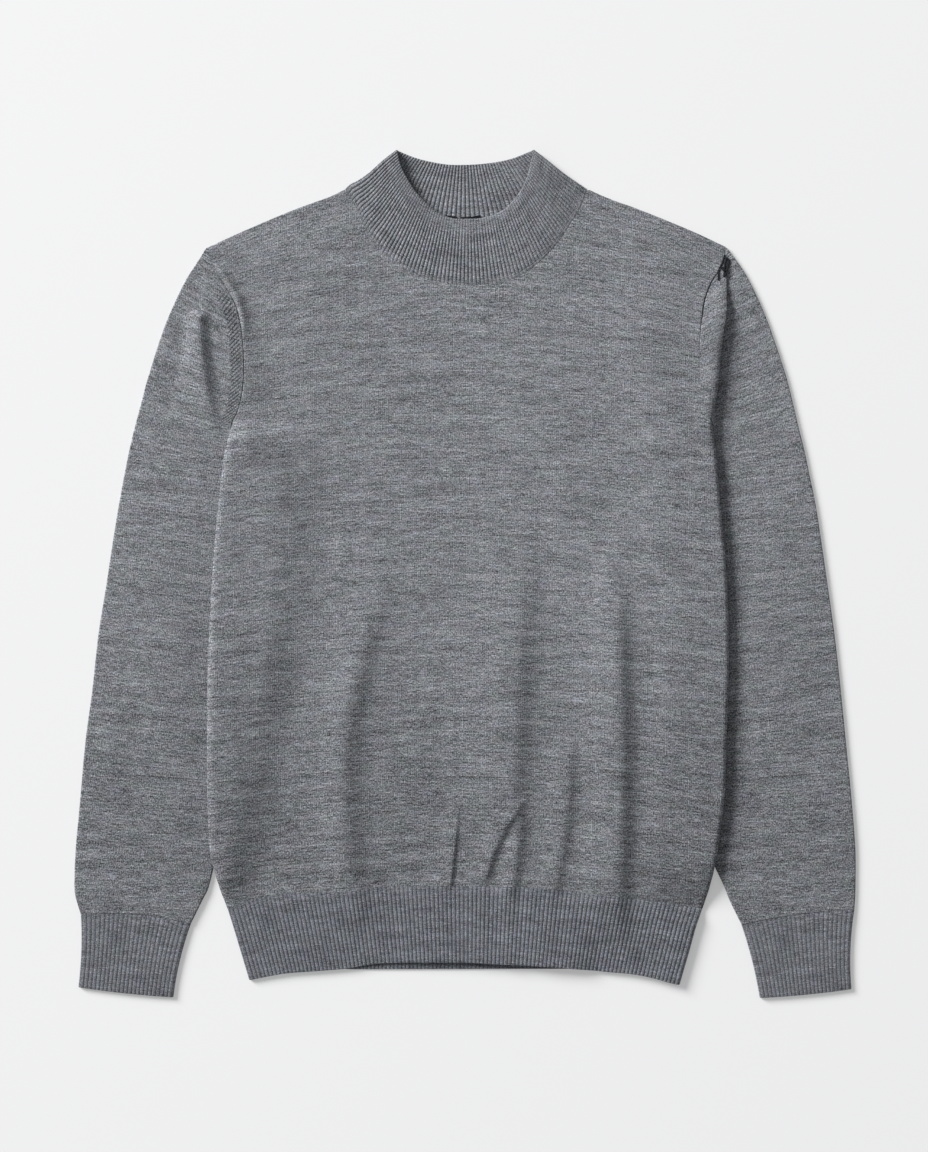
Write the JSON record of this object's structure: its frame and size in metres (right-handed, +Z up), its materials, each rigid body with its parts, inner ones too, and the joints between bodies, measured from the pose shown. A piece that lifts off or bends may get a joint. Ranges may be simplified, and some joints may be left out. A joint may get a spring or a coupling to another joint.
{
  "type": "mock neck sweater",
  "caption": "Fine-knit pullover with a ribbed mock neck, hem and cuffs, laid flat face up with its long sleeves brought down beside the body.",
  "frame": {"origin": "on the surface it lies on, under the middle of its outline", "axes": "+Y towards the neck, +X towards the right-hand sleeve as seen from above, +Z up out of the front"},
  "size_m": [0.7042, 0.7623, 0.009],
  "materials": {
    "jersey": "matte heather wool in plain knit",
    "rib": "matte heather wool in one by one rib",
    "collar_rib": "matte heather wool in one by one rib, doubled"
  },
  "bodies": {
    "root": {"front_panel": "jersey", "back_panel": "jersey", "sleeve_left": "jersey", "sleeve_right": "jersey", "cuff_left": "rib", "cuff_right": "rib", "hem_rib": "rib", "mock_neck_collar": "collar_rib"}
  },
  "joints": []
}
